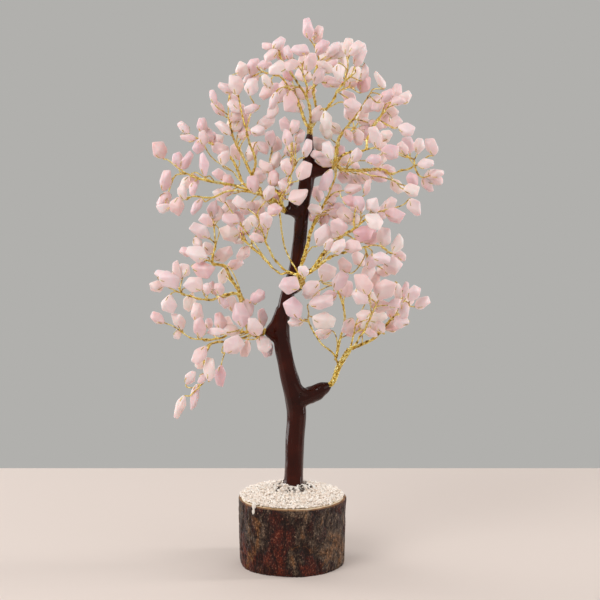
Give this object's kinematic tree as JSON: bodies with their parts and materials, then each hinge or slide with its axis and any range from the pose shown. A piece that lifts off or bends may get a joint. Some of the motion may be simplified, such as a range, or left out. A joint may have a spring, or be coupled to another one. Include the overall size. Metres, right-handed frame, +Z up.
{
  "type": "gemstone tree ornament",
  "caption": "Bonsai-shaped ornament: gold wire branches with rose quartz chips on a dark resin trunk, set in a bed of clear quartz on a bark-edged log slice.",
  "frame": {"origin": "centre of the underside of the log", "axes": "+Z up the trunk, +Y away from the viewer, +X to the viewer's right"},
  "size_m": [0.1592, 0.0825, 0.3011],
  "materials": {
    "cut_wood": "matt",
    "bark": "rough",
    "clear_glue": "gloss",
    "clear_quartz": "gloss",
    "dark_resin": "gloss",
    "gold_wire": "polished",
    "rose_quartz": "gloss"
  },
  "bodies": {
    "root": {"bark_ring": "bark", "glue_bed": "clear_glue", "left_inner_chips": "rose_quartz", "left_inner_wire": "gold_wire", "left_long_chips": "rose_quartz", "left_long_wire": "gold_wire", "left_third_chips": "rose_quartz", "left_third_wire": "gold_wire", "left_upper_chips": "rose_quartz", "left_upper_wire": "gold_wire", "log_core": "cut_wood", "lower_left_hanging_chips": "rose_quartz", "lower_left_hanging_wire": "gold_wire", "lower_left_low_chips": "rose_quartz", "lower_left_low_wire": "gold_wire", "lower_left_middle_chips": "rose_quartz", "lower_left_middle_wire": "gold_wire", "lower_left_upper_chips": "rose_quartz", "lower_left_upper_wire": "gold_wire", "lower_right_fan_chips": "rose_quartz", "lower_right_fan_wire": "gold_wire", "lower_right_inner_chips": "rose_quartz", "lower_right_inner_wire": "gold_wire", "lower_right_outer_chips": "rose_quartz", "lower_right_outer_wire": "gold_wire", "middle_left_chips": "rose_quartz", "middle_left_wire": "gold_wire", "middle_right_chips": "rose_quartz", "middle_right_low_chips": "rose_quartz", "middle_right_low_wire": "gold_wire", "middle_right_wire": "gold_wire", "middle_tall_chips": "rose_quartz", "middle_tall_wire": "gold_wire", "quartz_inner": "clear_quartz", "quartz_middle": "clear_quartz", "quartz_outer": "clear_quartz", "right_far_chips": "rose_quartz", "right_far_wire": "gold_wire", "right_rising_chips": "rose_quartz", "right_rising_wire": "gold_wire", "right_upper_chips": "rose_quartz", "right_upper_wire": "gold_wire", "stem_lower_left": "gold_wire", "stem_lower_right": "gold_wire", "stem_middle": "gold_wire", "stem_right": "gold_wire", "stem_top": "gold_wire", "stem_upper_left": "gold_wire", "top_crest_chips": "rose_quartz", "top_crest_wire": "gold_wire", "top_left_chips": "rose_quartz", "top_left_wire": "gold_wire", "top_right_chips": "rose_quartz", "top_right_wire": "gold_wire", "trunk_core": "gold_wire", "trunk_shell": "dark_resin"}
  },
  "joints": []
}
